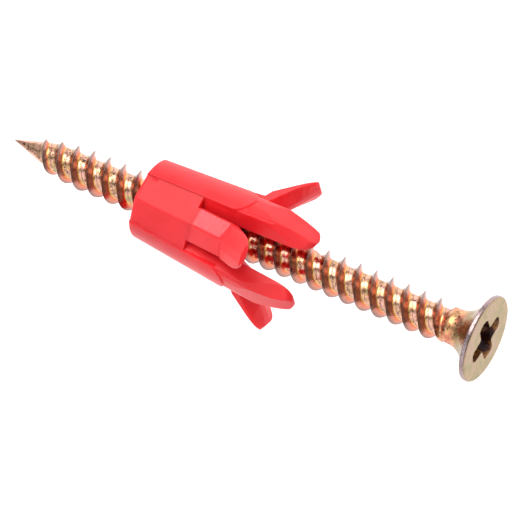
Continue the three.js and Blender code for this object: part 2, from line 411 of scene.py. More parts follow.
def threaded_shank(material):
    obj = thread_sheet()
    modifier = obj.modifiers.new("thread", "NODES")
    modifier.node_group = thread_tree(material)
    for item in modifier.node_group.interface.items_tree:
        if item.in_out == "INPUT" and item.name in THREAD:
            modifier[item.identifier] = THREAD[item.name]
    return plain(obj)


# %% [markdown]
# ## The screw's head
# The head is turned and pressed, so it is a profile spun round the axis: a hollow flare out of
# the neck, a thin rolled rim and a flat face. It could be a separate turned solid, but then a
# seam would show at the neck, so it grows from the thread's own last ring.

# %% The head
RIM = 0.7  # thickness of the head at its edge
SPREAD = 0.16  # how far pressing the recess has spread the edge of the head
UNDER_EDGE = 0.2  # radius of the rim's lower edge
FACE_EDGE = 0.26  # radius of its upper edge
POINT_CAP = 0.12  # length of the point that one fan of faces closes


def head_profile():
    """(distance along the screw, radius) from the neck to the middle of the face."""
    start, end = THREAD["Shank End"], SCREW_LENGTH
    edge, reach = end - RIM, HEAD_RADIUS + SPREAD
    path = [(start, THREAD["Neck Radius"])]
    path += bezier(path[0], (start + 1.6, 2.3), (edge - 0.8, 3.5), (edge, reach - 0.3), 26)
    path += arc((edge + UNDER_EDGE, reach - UNDER_EDGE), UNDER_EDGE, 170, 90, 8)
    path += arc((end - FACE_EDGE, reach - FACE_EDGE), FACE_EDGE, 90, 0, 12)
    path += [(end, reach - FACE_EDGE - step * 0.24) for step in range(1, 20)]
    return path


def close_shank(obj):
    """Adds the head to the open end of the shank, and closes the point."""
    build = bmesh.new()
    build.from_mesh(obj.data)
    bmesh.ops.remove_doubles(build, verts=build.verts, dist=0.003)
    bmesh.ops.dissolve_degenerate(build, edges=build.edges, dist=0.0005)
    # the last tenth of a millimetre is a bundle of tiny faces, so one fan takes its place
    bundle = [v for v in build.verts if v.co.x < POINT_CAP]
    bmesh.ops.delete(build, geom=bundle, context="VERTS")
    point = build.verts.new((0, 0, 0))
    for edge in [e for e in build.edges if e.is_boundary and e.verts[0].co.x < 1]:
        build.faces.new((edge.verts[0], edge.verts[1], point))
    ring = [v for v in build.verts if v.is_boundary and v.co.x > THREAD["Shank End"] - 0.01]
    ring.sort(key=lambda v: math.atan2(v.co.z, v.co.y))
    turns = [math.atan2(v.co.z, v.co.y) for v in ring]
    for x, radius in head_profile()[1:]:
        fresh = [build.verts.new((x, radius * math.cos(t), radius * math.sin(t))) for t in turns]
        for i in range(len(ring)):
            j = (i + 1) % len(ring)
            build.faces.new((ring[i], ring[j], fresh[j], fresh[i]))
        ring = fresh
    build.faces.new(ring)
    # the head has no ridges, so its colour is that of a groove
    noted = build.verts.layers.float.get("from_crest")
    for vertex in build.verts:
        if vertex.co.x > THREAD["Shank End"] - 1.2:
            vertex[noted] = 0.5
    still_open = [e for e in build.edges if e.is_boundary]
    bmesh.ops.holes_fill(build, edges=still_open, sides=0)
    bmesh.ops.recalc_face_normals(build, faces=build.faces)
    print("screw: open edges", sum(e.is_boundary for e in build.edges), "of", len(build.edges))
    build.to_mesh(obj.data)
    build.free()


# %% [markdown]
# The cross recess is pressed with a tapered punch: four blunt arms that get smaller towards the
# bottom. So a punch is lofted and cut out of the head. Its walls are marked with an attribute,
# which the material reads to paint shade into the recess.

# %% The recess and the whole screw
RECESS_REACH = 3.1  # from the axis to the end of an arm
RECESS_ARM = 0.95  # half the width of an arm
RECESS_DEPTH = 2.9
RECESS_TURN = 54  # degrees that the cross is turned from the +Y direction


def recess_ring(scale):
    """The cross at one depth: four arms with rounded ends and inner corners."""
    reach, arm = RECESS_REACH * scale, RECESS_ARM * (0.35 + 0.65 * scale)
    corner = reach - arm * 0.4
    side = [(corner, -arm), (reach, -arm * 0.55), (reach + 0.1 * scale, 0), (reach, arm * 0.55)]
    side += [(corner, arm), (arm + 0.5 * scale, arm), (arm + 0.15 * scale, arm + 0.15 * scale)]
    outline = []
    for quarter in range(4):
        turn = math.radians(90 * quarter + RECESS_TURN)
        outline += [
            (y * math.cos(turn) - z * math.sin(turn), y * math.sin(turn) + z * math.cos(turn))
            for y, z in side
        ]
    return outline


def recess_punch():
    """Levels are (height above the face, size): close together near the face, for a crisp mark."""
    levels = [(0.6, 1.1), (0.02, 1.0), (-0.1, 0.985), (-0.2, 0.97)]
    levels += [(-0.9, 0.86), (-1.9, 0.6), (-RECESS_DEPTH, 0.3)]
    return loft("punch", [
        [(SCREW_LENGTH + x, y, z) for y, z in recess_ring(scale)] for x, scale in levels
    ])


def mark_recess(obj):
    build = bmesh.new()
    build.from_mesh(obj.data)
    # marks the recess walls, where the material paints shade
    recess_shade = build.verts.layers.float.new("recess_shade")
    for vertex in build.verts:
        reach = math.hypot(vertex.co.y, vertex.co.z)
        deep = SCREW_LENGTH - vertex.co.x
        inside = reach < RECESS_REACH + 0.3 and 0.05 < deep < RECESS_DEPTH + 0.2
        vertex[recess_shade] = 1.0 if inside and vertex.normal.x > -0.02 else 0.0
    build.to_mesh(obj.data)
    build.free()


def make_screw(material):
    obj = threaded_shank(material)
    close_shank(obj)
    combine(obj, recess_punch(), "DIFFERENCE")
    mark_recess(obj)
    edges = obj.modifiers.new("edges", "BEVEL")
    edges.width, edges.segments, edges.limit_method = 0.05, 2, "ANGLE"
    edges.angle_limit = math.radians(50)
    return plain(obj)


# %% [markdown]
# ## The sleeve
# The sleeve is moulded in two halves round a core pin. Its outside is not round: a plain round
# band leads to each leg, and between two bands lie two flats that meet in a ridge in front of
# each wing. The bore is a little wider than the thread. A loft gives the outside, and cuts give
# the bore and the pockets, as core pins do in the mould.

# %% The sleeve's sizes
SLEEVE_LENGTH = 8.1
NOSE_RADIUS = 5.05  # at the end face
ROOT_RADIUS = 5.68  # where the slots begin
SLOPE = (ROOT_RADIUS - NOSE_RADIUS) / SLEEVE_LENGTH
BORE = 2.85
BAND = 22  # half the angle of a leg's band
PROUD = 0.2  # how far the band stands above the flats
BED = 0.12  # how far the sleeve lies below a band, which belongs to the leg's piece
FALL = 0.405  # how much a flat falls for each millimetre away from its ridge


def outer(x):
    """Radius of the sleeve's ridges at a distance from its end face."""
    return NOSE_RADIUS + SLOPE * x


def finger_place(splay):
    """From a wing's or leg's own directions, with its hinge at the origin, to the anchor's."""
    hinge = Matrix.Translation((HINGE_PLACE, 0, HINGE_RADIUS))
    return hinge @ Matrix.Rotation(-math.radians(splay), 4, "Y")


def spin(obj, degrees):
    """Turns a mesh from the top of the anchor to its own place round the axis."""
    obj.data.transform(Matrix.Rotation(-math.radians(degrees), 4, "X"))
    return obj


print(f"sleeve {2 * NOSE_RADIUS:.1f} mm across at its end, {2 * ROOT_RADIUS:.1f} mm at the slots")

# %% [markdown]
# One ring of the sleeve is worked out in polar form: a straight flat is a line between two
# radii, and the band is an arc. A short stub runs on inside each wing, so that the fold between
# sleeve and wing never shows a gap.

# %% The sleeve's shape
def sleeve_ring(x, drop):
    ring = []
    for i in range(144):
        angle = 360 * i / 144
        across = (angle + 60) % 120 - 60  # from the nearest ridge
        reach = outer(x) - drop
        edge = reach - PROUD
        radius = edge + (PROUD - BED)
        if abs(across) <= 60 - BAND:
            # the flat from the ridge to the band's edge
            side, turn = math.radians(60 - BAND), math.radians(abs(across))
            spread = reach * math.sin(turn) + edge * math.sin(side - turn)
            radius = reach * edge * math.sin(side) / spread
        turn = math.radians(angle)
        ring.append((x, radius * math.sin(turn), radius * math.cos(turn)))
    return ring


def stub():
    """Seen from the top: the short root of a wing that belongs to the sleeve."""
    rings = []
    for x, sink in ((7.0, 0.0), (8.2, 0.0), (8.95, 0.32)):
        ridge, half = outer(x) - sink, 1.95 - sink * 0.6
        low = ridge - half * FALL
        rings.append([
            (x, -half, 3.2), (x, half, 3.2), (x, half, low), (x, 0, ridge), (x, -half, low),
        ])
    return loft("stub", rings)


def pocket(side):
    """The small pocket beside a band, where the mould's inserts meet."""
    y = side * (outer(0.8) * math.sin(math.radians(BAND)) + 0.12)
    outline = [(0.25, y - 0.16), (1.7, y - 0.1), (1.7, y + 0.1), (0.25, y + 0.16)]
    return from_above("pocket", outline, 4.35, 6)


def make_sleeve():
    rings = [sleeve_ring(x, drop) for x, drop in ((0, 0.3), (0.12, 0.1), (0.32, 0))]
    body = loft("anchor_sleeve", rings + [sleeve_ring(SLEEVE_LENGTH, 0)])
    for turn in (0, 120, 240):
        combine(body, spin(stub(), turn), "UNION")
    combine(body, round_bar("bore", BORE, -1, SLEEVE_LENGTH + 2), "DIFFERENCE")
    for turn in (60, 180, 300):
        for side in (-1, 1):
            combine(body, spin(pocket(side), turn), "DIFFERENCE")
    return body


# %% [markdown]
# ## The wings
# A wing continues two flats and their ridge for three millimetres, then turns outwards as a
# flat tongue with a thin rounded end. Its root is thin where it leaves the sleeve: that is the
# living hinge. The inner side is a blunt V, so that a wing can lie down between two legs. Flats,
# crease and tongue pass into each other, so the wing is one loft along its length.

# %% The wings' sizes
WING_HALF = 2.1  # half the width of a wing
WING_SPLAY = 9.5  # degrees that its root leans outwards
CREASE = 3.2  # from the hinge to the crease
CROWN = 0.5  # how far the tongue's outer face falls to its sides
SLANT = 0.6  # how much further forward the crease lies at the sides
TONGUE = 6.3  # length of the tongue
RISE = 31  # degrees that the tongue turns outwards
WEDGE = 20  # degrees between its outer and inner faces
TIP = 0.7  # thickness at its end


def along_path(path, share):
    """A point on a path of (x, z) points, at a share of its length."""
    lengths = [math.dist(p, q) for p, q in zip(path, path[1:])]
    left = share * sum(lengths) * 0.999999  # never past the last point by rounding
    for (p, q), length in zip(zip(path, path[1:]), lengths):
        if left <= length:
            break
        left -= length
    t = min(left / length, 1.0)
    return (p[0] + (q[0] - p[0]) * t, p[1] + (q[1] - p[1]) * t)


def own(x, z):
    """A point of the wing's outline, from the wing's own directions to the anchor's."""
    return tuple((finger_place(WING_SPLAY) @ Vector((x, 0, z))).xz)


def wing_end():
    """The tongue's outer and inner end corners, from the hinge."""
    rise = math.radians(RISE)
    tip = (CREASE + TONGUE * math.cos(rise), HALF_WALL + TONGUE * math.sin(rise))
    return tip, (tip[0] + TIP * math.sin(rise), tip[1] - TIP * math.cos(rise))


print("a wing's end is", round(wing_end()[0][1] + HINGE_RADIUS, 1), "mm from the axis")

# %% [markdown]
# A station is one cut across the wing. It joins a point on the outer side to one on the inner
# side, and says how far the sides fall and how straight the flats are there. The ring at a
# station has nine points: five on the outside and four for the blunt V.

# %% The wings' stations and rings
def wing_stations():
    """(outer point, share of the inner path, how far the sides fall, how straight the flats are)."""
    start = SLEEVE_LENGTH
    fold = (start + 0.2, outer(start + 0.2))
    crease, top = own(CREASE, HALF_WALL), own(*wing_end()[0])
    stations = [
        ((start - 0.7, outer(start - 0.7) - 0.2), 0.0, 1.0, 0.5),
        ((start - 0.2, outer(start - 0.2) - 0.01), 0.03, 1.0, 0.5),
        (fold, 0.05, 1.0, 0.5),
        (along_path([fold, crease], 0.5), 0.2, 1.0, 0.5),
        (along_path([fold, crease], 0.93), 0.36, 1.0, 0.5),
    ]
    for step in range(1, 10):
        t = step / 9
        place = along_path([crease, top], t * t * 0.5 + t * 0.5)
        stations.append((place, 0.4 + 0.6 * t, 0.0, 0.25))
    return stations


def wing_ring(outside, inside, share, flat, middle):
    x, z = outside
    deep = math.dist(outside, inside)
    way = ((inside[0] - x) / deep, (inside[1] - z) / deep)
    far = max(0.0, (share - 0.4) / 0.6)  # 0 at the crease, 1 at the end
    fall = flat * WING_HALF * FALL + (1 - flat) * CROWN * (1 - 0.3 * far)
    belly = fall + (deep - fall) * (0.5 - 0.2 * far)
    keel = 0.32 + 0.12 * far
    rows = [
        (-WING_HALF, fall), (-WING_HALF / 2, fall * middle), (0, 0), (WING_HALF / 2, fall * middle),
        (WING_HALF, fall), (WING_HALF, belly), (keel, deep), (-keel, deep), (-WING_HALF, belly),
    ]
    # the crease runs forward towards both sides, so the points there are moved on along the wing
    ahead = SLANT * (1 - far) if share > 0.3 else 0.0
    lean = math.radians(WING_SPLAY + (RISE if share > 0.4 else 0))
    step = (ahead * math.cos(lean), ahead * math.sin(lean))
    lag = [abs(y) / WING_HALF if d < belly else 0.0 for y, d in rows]
    return [
        (x + way[0] * d + step[0] * k, y, z + way[1] * d + step[1] * k)
        for (y, d), k in zip(rows, lag)
    ]


# %% [markdown]
# The loft has square corners at its end. An outline seen from above rounds them, and the bore
# trims the root, so that nothing hangs into the screw.

# %% A whole wing
def make_wing(name):
    tip, end = wing_end()
    steep = math.radians(RISE + WEDGE)
    heel = (end[0] - (end[1] + HALF_WALL) / math.tan(steep), -HALF_WALL)
    inner = [own(-2.2, -HALF_WALL), own(*heel), own(*end)]
    wing = loft(name, [
        wing_ring(outside, along_path(inner, share), share, flat, middle)
        for outside, share, flat, middle in wing_stations()
    ])
    side = [(tip[0] - 2.1, 2.08)]
    side += bezier(side[0], (tip[0] - 0.7, 2.06), (end[0] - 0.15, 1.75), (end[0], 0.5), 12)
    outline = [(-4, -3), (tip[0] - 2.1, -3)] + [(x, -y) for x, y in side] + side[::-1]
    outline += [(tip[0] - 2.1, 3), (-4, 3)]
    keep = from_above("keep", outline, -4, tip[1] + 2)
    keep.data.transform(finger_place(WING_SPLAY))
    combine(wing, keep, "INTERSECT")
    return combine(wing, round_bar("bore", BORE + 0.05, 0, 30), "DIFFERENCE")


# %% [markdown]
# ## The legs
# Each leg is the sleeve's round band carried on over a slot: the band ends in a fine step,
# and the leg runs on as a narrower cap above two plain flanks, to a long rounded nose. The
# inside is hollowed to the screw's curve. Band and leg are one piece from the end face on, so
# the only seam lies along the band's edges, where the mould has a step as well.

# %% The legs' sizes
LEG_HALF = 2.0  # half the width of a leg
LEG_SPLAY = 3.45  # degrees that it leans outwards
LEG_START = -1.7  # from the hinge back to the leg's hidden end
LEG_LENGTH = 12.9
NOSE = 7.0  # length of the nose
NOSE_DROP = 0.7  # how far below the hinge's line the very end lies
STEP = 3.3  # from the hinge to the end of the band
CAP_HALF = 1.68  # half the width of the cap
CROWN_RADIUS = 5.72  # the cap's curve across
GROOVE = 3.3  # radius of the hollow for the screw
print("a leg ends", round(HINGE_PLACE + LEG_LENGTH, 1), "mm from the sleeve's end face")

# %% [markdown]
# The leg's body starts as its outline from the side. Cuts then take away the ledges beside the
# cap, a long facet on each flank, the corners of the nose and the curve of the cap.

# %% A leg's body
def half_space(name, at, normal, size=30.0):
    """A big block that fills the side of a plane that its normal points to."""
    facing = Vector(normal).normalized()
    turn = Vector((0, 0, 1)).rotation_difference(facing).to_matrix().to_4x4()
    corners = [(-size, -size), (size, -size), (size, size), (-size, size)]
    block = from_above(name, corners, 0, size)
    block.data.transform(Matrix.Translation(at) @ turn)
    return block


def leg_side():
    """The leg's outline from the side: flat below, long and rounded above."""
    end, under = LEG_LENGTH, -HALF_WALL
    last = (end, -NOSE_DROP)
    outline = [(LEG_START, under), (end - 2, under)]
    outline += bezier(outline[-1], (end - 0.7, under), (end, under + 0.15), last, 10)
    shoulder, cap = (end - NOSE, HALF_WALL - 0.15), (end - 2.2, HALF_WALL - 0.45)
    outline += bezier(last, (end, 0.5 - NOSE_DROP), cap, shoulder, 18)
    return outline + [(LEG_START, HALF_WALL - 0.15)]


def leg_plan():
    """The leg's outline from above: straight sides and a rounded end."""
    back, end, blunt = LEG_START - 1, LEG_LENGTH + 0.03, LEG_LENGTH - 2.8
    outline = [(back, -3), (blunt, -LEG_HALF)]
    outline += bezier(outline[-1], (blunt + 1.6, -1.95), (end, -1.25), (end, 0), 14)
    outline += bezier(outline[-1], (end, 1.25), (blunt + 1.6, 1.95), (blunt, LEG_HALF), 14)
    return outline + [(back, 3)]


def leg_body(name):
    body = from_side(name, leg_side(), LEG_HALF)
    back, end = LEG_START - 1, LEG_LENGTH + 1
    for side in (-1, 1):
        edge, wide = side * CAP_HALF, side * 3
        corners = [(back, edge), (end, edge), (end, wide), (back, wide)]
        combine(body, from_above("ledge", corners, HALF_WALL - 0.6, 4), "DIFFERENCE")
        facet = half_space("facet", (8.3, edge, 0.8), (0.193, side * 0.912, 0.361))
        combine(body, facet, "DIFFERENCE")
    combine(body, from_above("nose", leg_plan(), -4, 4), "INTERSECT")
    crown = round_bar("crown", CROWN_RADIUS, back - 1, end + 1, -4.44, 128)
    combine(body, crown, "INTERSECT")
    body.data.transform(finger_place(LEG_SPLAY))
    return body


# %% [markdown]
# The band is round about the anchor's axis, not about the leg's own line. It is a curved strip
# along the sleeve, and its end is trimmed to the low arch of the real step.

# %% A leg's band, and a whole leg
def leg_band():
    reach = HINGE_PLACE + STEP
    turns = [math.radians(-BAND + 2 * BAND * i / 20) for i in range(21)]
    rings = []
    for x, sink in ((0.0, 0.3), (0.12, 0.1), (0.32, 0.0), (SLEEVE_LENGTH, 0.0), (reach + 1, 0.0)):
        far, near = outer(x) - sink, outer(x) - 0.55
        ring = [(x, far * math.sin(t), far * math.cos(t)) for t in turns]
        ring += [(x, near * math.sin(t), near * math.cos(t)) for t in reversed(turns)]
        rings.append(ring)
    far, near = reach + 0.7, reach - 2.0
    outline = [(-1, -3), (near, -3), (near, -2.4)]
    outline += bezier(outline[-1], (near + 1.6, -2.35), (far - 0.1, -1.5), (far, 0), 14)
    outline += bezier(outline[-1], (far - 0.1, 1.5), (near + 1.6, 2.35), (near, 2.4), 14)
    outline += [(near, 3), (-1, 3)]
    return combine(loft("band", rings), from_above("trim", outline, 3, 8), "INTERSECT")


def make_leg(name):
    leg = combine(leg_body(name), leg_band(), "UNION")
    return combine(leg, round_bar("groove", GROOVE, -1, 30), "DIFFERENCE")


# %% [markdown]
# ## Building the anchor
# The sleeve rides on its own body. The sleeve's squares are a little larger than those of the
# wings and legs, because its surfaces are plainer.

# %% The sleeve
red = bpy.data.materials.new("moulded_red_nylon")
zinc = bpy.data.materials.new("yellow_passivated_zinc_on_steel")


def dress(obj, material, name):
    obj.data.materials.clear()
    obj.data.materials.append(material)
    obj.name = name
    obj.data.name = name
    print(name, "has", len(obj.data.polygons), "faces")
    return obj


sleeve = soften(make_sleeve(), VOXEL * 1.18, 4)
place_mesh(sleeve, ANCHOR_PLACE)
dress(sleeve, red, "anchor_sleeve")
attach(sleeve, "sleeve")
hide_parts("sleeve")

# %% [markdown]
# One wing and one leg are made, and each is copied three times round the axis. Nylon that has
# been bent turns pale, so the outside of the wing between its root and its crease is marked with
# an attribute. One flat of the two is marked four times as much as the other: that extra is a
# painted sheen, as on the flat of the top wing that faces the light.

# %% The wing and the leg that are copied
wing_master = soften(make_wing("wing"), VOXEL * 0.85, 5)
leg_master = soften(make_leg("leg"), VOXEL * 0.9, 6)
crease_x = (finger_place(WING_SPLAY) @ Vector((CREASE, 0, HALF_WALL))).x
strain_and_sheen_marks = wing_master.data.attributes.new("strain_and_sheen", "FLOAT", "POINT")
for vertex, mark in zip(wing_master.data.vertices, strain_and_sheen_marks.data):
    x, y, z = vertex.co
    from_root = (x - SLEEVE_LENGTH - 0.35) / 0.12
    from_crease = (crease_x - 0.2 + 0.25 * abs(y) - x) / 0.15
    from_ridge = (abs(y) - 0.1) / 0.1
    within = max(0.0, min(1.0, from_root, from_crease, from_ridge))
    outside = 1.0 if vertex.normal.z > 0.6 else 0.0
    # whitening on the outward faces, and a painted sheen that marks one flat four times as much
    mark.value = within * outside * (1.0 if y > 0 else 0.25)

# %% [markdown]
# On the real anchor a wing bends over a living hinge, and the plastic stays joined. Here each
# finger is a rigid copy of the wing or the leg, turned round the axis to its place and fixed in
# the frame.

# %% The six fingers
FINGERS = (
    (wing_master, "wing_top", 0), (wing_master, "wing_left", 120), (wing_master, "wing_right", 240),
    (leg_master, "leg_left", 60), (leg_master, "leg_bottom", 180), (leg_master, "leg_right", 300),
)


def add_finger(master, node, turn):
    obj = bpy.data.objects.new("nylon_" + node, master.data.copy())
    bpy.context.scene.collection.objects.link(obj)
    spin(obj, turn)
    place_mesh(obj, ANCHOR_PLACE)
    dress(obj, red, "nylon_" + node)
    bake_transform(obj)
    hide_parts(node)


for master, node, turn in FINGERS:
    add_finger(master, node, turn)
for master in (wing_master, leg_master):
    bpy.data.objects.remove(master)

# %% [markdown]
# The screw is one piece from its point to its head, and it rides on the body that slides.

# %% The screw
screw = make_screw(zinc)
place_mesh(screw, SCREW_PLACE)
dress(screw, zinc, "zinc_screw")
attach(screw, "screw")
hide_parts("screw")

# %% [markdown]
# ## Materials
# Both materials are procedural, in the object's own coordinates. Colours are written as they
# look on a screen and turned to linear light by one function. A pattern's scale is worked out
# from the size of its features on the real surface.

# %% Colours, scales and ramps
def linear(colour, alpha=1.0):
    parts = [int(colour[i:i + 2], 16) / 255 for i in (1, 3, 5)]
    lights = (c / 12.92 if c <= 0.04045 else ((c + 0.055) / 1.055) ** 2.4 for c in parts)
    return tuple(lights) + (alpha,)


def per_mm(count):
    """The scale of a noise that has this many patches in a millimetre."""
    return count / MM


def fresh_tree(material):
    material.use_nodes = True
    tree = material.node_tree
    tree.nodes.clear()
    shader = add_node(tree, "ShaderNodeBsdfPrincipled")
    add_node(tree, "ShaderNodeOutputMaterial", Surface=shader.outputs[0])
    return tree, shader


def set_stops(ramp, stops):
    while len(ramp.elements) < len(stops):
        ramp.elements.new(0.5)
    for element, (place, colour) in zip(ramp.elements, stops):
        element.position, element.color = place, colour


def colour_ramp(tree, factor, *stops):
    node = add_node(tree, "ShaderNodeValToRGB", Fac=factor)
    set_stops(node.color_ramp, [(place, linear(colour)) for place, colour in stops])
    return node.outputs[0]


def blend_colours(tree, share, first, second):
    settings = {"data_type": "RGBA"}
    return add_node(tree, "ShaderNodeMix", settings, i0=share, i6=first, i7=second).outputs[2]


print("the red in linear light:", [round(part, 3) for part in linear("#E8222A")[:3]])

# %% [markdown]
# The anchor is injection-moulded nylon, coloured red in the melt. Its mould was spark-eroded to
# a fine grain, which spreads the highlights, and the flow of the melt leaves slow differences
# in shade. A little light passes through it, so thin edges glow. The strained root of a wing is
# paler, in fine lines across the bend, and one of its two flats is paler still: a painted sheen.

# %% The red nylon
tree, shader = fresh_tree(red)
put = Sums(tree)
where = add_node(tree, "ShaderNodeTexCoord").outputs["Object"]
flow = {"Scale": per_mm(0.26), "Detail": 3.0}  # patches about 4 mm wide
melt = add_node(tree, "ShaderNodeTexNoise", Vector=where, **flow).outputs[0]
# the real grain is finer than this, near 0.05 mm, and is drawn coarser so that it shows at all
erosion = {"Scale": per_mm(4.5), "Detail": 2.0}  # grains about 0.2 mm wide
grain = add_node(tree, "ShaderNodeTexNoise", Vector=where, **erosion).outputs[0]
body = colour_ramp(tree, melt, (0.3, "#E8222A"), (0.7, "#F2303A"))

# the mark is partly whitening at the bent root and partly a painted sheen on one flat
strain_and_sheen = add_node(tree, "ShaderNodeAttribute", {"attribute_name": "strain_and_sheen"}).outputs["Fac"]
drawn_out = add_node(tree, "ShaderNodeMapping", Vector=where, Scale=(4.0, 0.6, 0.6)).outputs[0]
crazing = {"Scale": per_mm(1.5), "Detail": 2.0}  # lines about 0.2 mm apart
lines = add_node(tree, "ShaderNodeTexNoise", Vector=drawn_out, **crazing).outputs[0]
pale = put("MULTIPLY", strain_and_sheen, put("ADD", 0.08, put("MULTIPLY", lines, 0.4)))
body = blend_colours(tree, pale, body, linear("#FFA0A8"))
tree.links.new(body, shader.inputs["Base Color"])

rough = add_node(tree, "ShaderNodeMapRange", Value=melt, To_Min=0.28, To_Max=0.42).outputs[0]
tree.links.new(rough, shader.inputs["Roughness"])
shader.inputs["IOR"].default_value = 1.52
shader.inputs["Specular IOR Level"].default_value = 0.35
shader.inputs["Subsurface Weight"].default_value = 0.6
shader.inputs["Subsurface Radius"].default_value = (1.0, 0.12, 0.06)
shader.inputs["Subsurface Scale"].default_value = 1.4 * MM
bump = add_node(tree, "ShaderNodeBump", Strength=0.8, Distance=0.03 * MM, Height=grain)
tree.links.new(bump.outputs[0], shader.inputs["Normal"])
print("red nylon:", len(tree.nodes), "nodes")

# %% [markdown]
# The screw is steel, barrel-plated with zinc and passivated yellow. The passivation is a film
# thinner than a wave of light, so its colour drifts with its thickness: gold, pink and green.
# Across a ridge the colour changes from a darker crest, a painted shade, to the groove, and one
# flank is lighter and more orange than the other, a painted reflection. On the shank both are
# ramps, one over a slow noise and one over the distance from the crest.

# %% The zinc's film on the shank, with painted shade and reflection on the ridges
tree, shader = fresh_tree(zinc)
put = Sums(tree)
where = add_node(tree, "ShaderNodeTexCoord").outputs["Object"]
along = add_node(tree, "ShaderNodeSeparateXYZ", Vector=where).outputs["X"]
from_crest = {"attribute_name": "from_crest"}
crest = add_node(tree, "ShaderNodeAttribute", from_crest).outputs["Fac"]
thickness = {"Scale": per_mm(0.5), "Detail": 3.0, "Distortion": 0.5}  # patches 2 mm wide
drift = add_node(tree, "ShaderNodeTexNoise", Vector=where, **thickness).outputs[0]
groove = colour_ramp(
    tree, drift,
    (0.32, "#BC9870"), (0.43, "#E2B294"), (0.52, "#F0B6A8"), (0.6, "#E4B080"), (0.7, "#B8AC84"),
)
streak = put("MULTIPLY", put("SUBTRACT", drift, 0.5), 0.16)
side = put("ADD", put("ADD", crest, 0.5), streak)
# painted shade and reflection: the crest darker and one flank lighter and more orange than the other
flank = colour_ramp(
    tree, side,
    (0.20, "#D9B48C"), (0.27, "#A87C58"), (0.36, "#A88C7C"), (0.46, "#8C7E70"), (0.53, "#9C7C78"),
    (0.60, "#D08C78"), (0.70, "#E27A58"), (0.755, "#E6B050"), (0.80, "#D8AC84"),
)
lift = put("SUBTRACT", 0.5, put("ABSOLUTE", crest))
threaded = put.smooth(along, (POINT_X + 3.4) * MM, (POINT_X + 4.6) * MM)
on_flank = put("MULTIPLY", put.smooth(lift, 0.16, 0.24), threaded)
film_and_painted_light = blend_colours(tree, on_flank, groove, flank)
print("colours on the shank:", len(tree.nodes), "nodes")

# %% [markdown]
# The head was dipped with the shank but rubs against other screws in the barrel, so its face is
# a greener gold and its rim is dull. The recess walls are darkened towards a maroon black: painted
# shade. Each zone has its own ramp, laid over the last one by its place along the screw or by the
# mark in the recess.

# %% The zinc's film on the head, and painted shade in the recess
def reached(x, width):
    """0 before a distance from the point and 1 after it, over a width in millimetres."""
    return put.smooth(along, (POINT_X + x) * MM, (POINT_X + x + width) * MM)


handling = {"Scale": per_mm(3.2), "Detail": 2.0, "Distortion": 1.0}  # marks 0.3 mm wide
fleck = add_node(tree, "ShaderNodeTexNoise", Vector=where, **handling).outputs[0]
recess_shade = add_node(tree, "ShaderNodeAttribute", {"attribute_name": "recess_shade"}).outputs["Fac"]
neck = colour_ramp(tree, drift, (0.35, "#D0905C"), (0.5, "#E8B484"), (0.62, "#E08C70"))
cap = colour_ramp(tree, drift, (0.35, "#8E8257"), (0.5, "#A48C60"), (0.65, "#AC8C74"))
rim = colour_ramp(tree, fleck, (0.38, "#847478"), (0.5, "#B8A4A6"), (0.62, "#9C8680"))
# painted shade: the recess walls are a maroon black, in places a brown gold
recess_shade_colour = colour_ramp(tree, drift, (0.4, "#2A0E10"), (0.54, "#4A1A18"), (0.64, "#A06A30"))
on_head = reached(61.4, 1.3)
on_rim = put("MULTIPLY", reached(64.28, 0.06), put("SUBTRACT", 1.0, reached(64.9, 0.07)))
for colour, share in ((neck, reached(59.3, 1.6)), (cap, on_head), (rim, on_rim), (recess_shade_colour, recess_shade)):
    film_and_painted_light = blend_colours(tree, share, film_and_painted_light, colour)

# %% [markdown]
# Small dark specks are left where the film is rubbed through or stained, mostly in the grooves.
# The steel's own surface is only fairly smooth, because the thread was rolled: fine pits break
# the reflections up.

# %% Specks, polish and pits
clusters = {"Scale": per_mm(0.7), "Detail": 1.0}  # groups of specks 1.4 mm wide
cluster = add_node(tree, "ShaderNodeTexNoise", Vector=where, **clusters).outputs[0]
specks = put("MULTIPLY", put.smooth(fleck, 0.55, 0.6), put.smooth(cluster, 0.42, 0.5))
specks = put("MULTIPLY", specks, put("SUBTRACT", 1.0, put("MAXIMUM", on_flank, on_head)))
film_and_painted_light = blend_colours(tree, put("MULTIPLY", specks, 0.92), film_and_painted_light, linear("#3A2414"))
tree.links.new(film_and_painted_light, shader.inputs["Base Color"])
# the recess is made much less metallic, so it shows no bright reflections: painted shade
recess_dimmed_metallic = put("SUBTRACT", 1.0, put("MULTIPLY", recess_shade, 0.7))
tree.links.new(recess_dimmed_metallic, shader.inputs["Metallic"])

rubbing = {"Scale": per_mm(1.5), "Detail": 4.0}  # rubbed places 0.7 mm wide
worn = add_node(tree, "ShaderNodeTexNoise", Vector=where, **rubbing).outputs[0]
polish = {"From_Min": 0.3, "From_Max": 0.7, "To_Min": 0.14, "To_Max": 0.3}
rough = add_node(tree, "ShaderNodeMapRange", Value=worn, **polish)
tree.links.new(rough.outputs[0], shader.inputs["Roughness"])
rolling = {"Scale": per_mm(2.6), "Detail": 3.0, "Roughness": 0.6}  # pits 0.4 mm apart
pits = add_node(tree, "ShaderNodeTexNoise", Vector=where, **rolling).outputs[0]
bump = add_node(tree, "ShaderNodeBump", Strength=0.6, Distance=0.06 * MM, Height=pits)
tree.links.new(bump.outputs[0], shader.inputs["Normal"])
print("passivated zinc:", len(tree.nodes), "nodes")

# %% [markdown]
# ## Floor, light and camera
# A pale floor lies under the object, as the paper in a light tent does. It shines a little by
# itself, because a real tent's paper is lit from behind as well.

